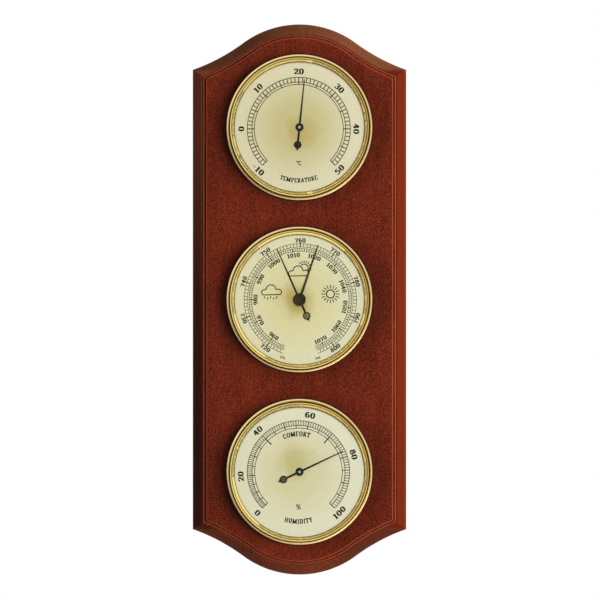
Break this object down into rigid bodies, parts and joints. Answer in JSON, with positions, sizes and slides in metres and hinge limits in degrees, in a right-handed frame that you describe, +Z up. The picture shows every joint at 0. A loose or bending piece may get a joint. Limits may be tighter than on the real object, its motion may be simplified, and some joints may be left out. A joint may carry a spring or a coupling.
{
  "type": "wall weather station",
  "caption": "Stained wooden wall board with ogee ends carrying brass-rimmed dial gauges for temperature, air pressure and humidity.",
  "frame": {"origin": "centre of the round entry of the hanger's keyhole, on the plane of the wall", "axes": "+Z up, +X to the right as seen from the front, +Y towards the wall; the dials face -Y"},
  "size_m": [0.128, 0.0278, 0.33],
  "materials": {
    "stained_wood": "stained and lacquered, fine grain",
    "polished_brass": "polished and lacquered",
    "window_glass": "clear",
    "dial_metal": "champagne satin with printed scales",
    "case_plastic": "moulded black",
    "soft_rubber": "matt",
    "black_paint": "satin black",
    "dark_bronze_paint": "satin dark bronze",
    "knob_plastic": "black",
    "plated_steel": "zinc plated",
    "spring_metal": "bare strip",
    "movement_brass": "bare",
    "capsule_metal": "bright corrugated"
  },
  "bodies": {
    "station": {"back_board": "stained_wood", "hanger_plate": "plated_steel", "hanger_screws": "plated_steel", "thermo_case": "case_plastic", "thermo_grip_ring": "soft_rubber", "thermo_bezel": "polished_brass", "thermo_glass": "window_glass", "thermo_spacer": "polished_brass", "thermo_dial": "dial_metal", "baro_case": "case_plastic", "baro_grip_ring": "soft_rubber", "baro_bezel": "polished_brass", "baro_glass": "window_glass", "baro_spacer": "polished_brass", "baro_dial": "dial_metal", "hygro_case": "case_plastic", "hygro_grip_ring": "soft_rubber", "hygro_bezel": "polished_brass", "hygro_glass": "window_glass", "hygro_spacer": "polished_brass", "hygro_dial": "dial_metal", "thermo_bracket": "plated_steel", "thermo_bracket_screws": "plated_steel", "thermo_bush": "movement_brass", "thermo_coil": "spring_metal", "thermo_coil_stud": "movement_brass", "hygro_bracket": "plated_steel", "hygro_bracket_screws": "plated_steel", "hygro_bush": "movement_brass", "hygro_coil": "spring_metal", "hygro_coil_stud": "movement_brass", "base_plate": "movement_brass", "base_plate_screws": "plated_steel", "adjusting_screw": "movement_brass", "capsule_rear": "capsule_metal", "capsule_front": "capsule_metal", "pillars": "movement_brass", "bridge_plate": "movement_brass", "bridge_screws": "plated_steel", "rocker_brackets": "plated_steel", "sector_screw": "plated_steel", "arbor_cock": "movement_brass", "cock_screw": "plated_steel", "hairspring": "spring_metal", "hairspring_stud": "movement_brass"},
    "thermo_pointer": {"thermo_arbor": "movement_brass", "thermo_hand": "black_paint"},
    "hygro_pointer": {"hygro_arbor": "movement_brass", "hygro_hand": "black_paint"},
    "baro_pointer": {"baro_arbor": "movement_brass", "baro_hand": "black_paint"},
    "sector": {"sector_gear": "movement_brass", "sector_pin": "plated_steel"},
    "rocker": {"rocker_shaft": "plated_steel", "stem_lever": "movement_brass", "drive_finger": "plated_steel"},
    "stem": {"capsule_stem": "movement_brass"},
    "set_pointer": {"set_hand": "dark_bronze_paint", "set_knob": "knob_plastic", "knob_washer": "plated_steel"}
  },
  "joints": [
    {"name": "thermo_hand_turn", "type": "hinge", "parent": "station", "child": "thermo_pointer", "pos_m": [0, 0, -0.048], "axis": [0, 1, 0], "range_deg": [-140.85, 129.15], "stiffness_Nm_per_rad": 0.002, "deforming": ["thermo_coil"]},
    {"name": "hygro_hand_turn", "type": "hinge", "parent": "station", "child": "hygro_pointer", "pos_m": [0, 0, -0.254], "axis": [0, 1, 0], "range_deg": [-199.6, 70.4], "stiffness_Nm_per_rad": 0.002, "deforming": ["hygro_coil"]},
    {"name": "baro_hand_turn", "type": "hinge", "parent": "station", "child": "baro_pointer", "pos_m": [0, 0, -0.151], "axis": [0, 1, 0], "range_deg": [-138, 186], "deforming": ["hairspring"]},
    {"name": "sector_turn", "type": "hinge", "parent": "station", "child": "sector", "pos_m": [-0.02139, 0, -0.154], "axis": [0, 1, 0], "range_deg": [-23.25, 17.25], "stiffness_Nm_per_rad": 0.02},
    {"name": "rocker_turn", "type": "hinge", "parent": "station", "child": "rocker", "pos_m": [0, -0.01252, -0.154], "axis": [1, 0, 0], "range_deg": [-17.72, 13.15]},
    {"name": "capsule_breathe", "type": "slide", "parent": "station", "child": "stem", "axis": [0, -1, 0], "range_m": [-0.00093, 0.00069], "deforming": ["capsule_front"]},
    {"name": "set_hand_turn", "type": "hinge", "parent": "station", "child": "set_pointer", "pos_m": [0, 0, -0.151], "axis": [0, 1, 0], "continuous": true}
  ],
  "couplings": [
    {"joint": "baro_hand_turn", "follows": "sector_turn", "ratio": -8},
    {"joint": "rocker_turn", "follows": "sector_turn", "ratio": 0.7619},
    {"joint": "capsule_breathe", "follows": "sector_turn", "m_per_rad": 0.0022857}
  ]
}
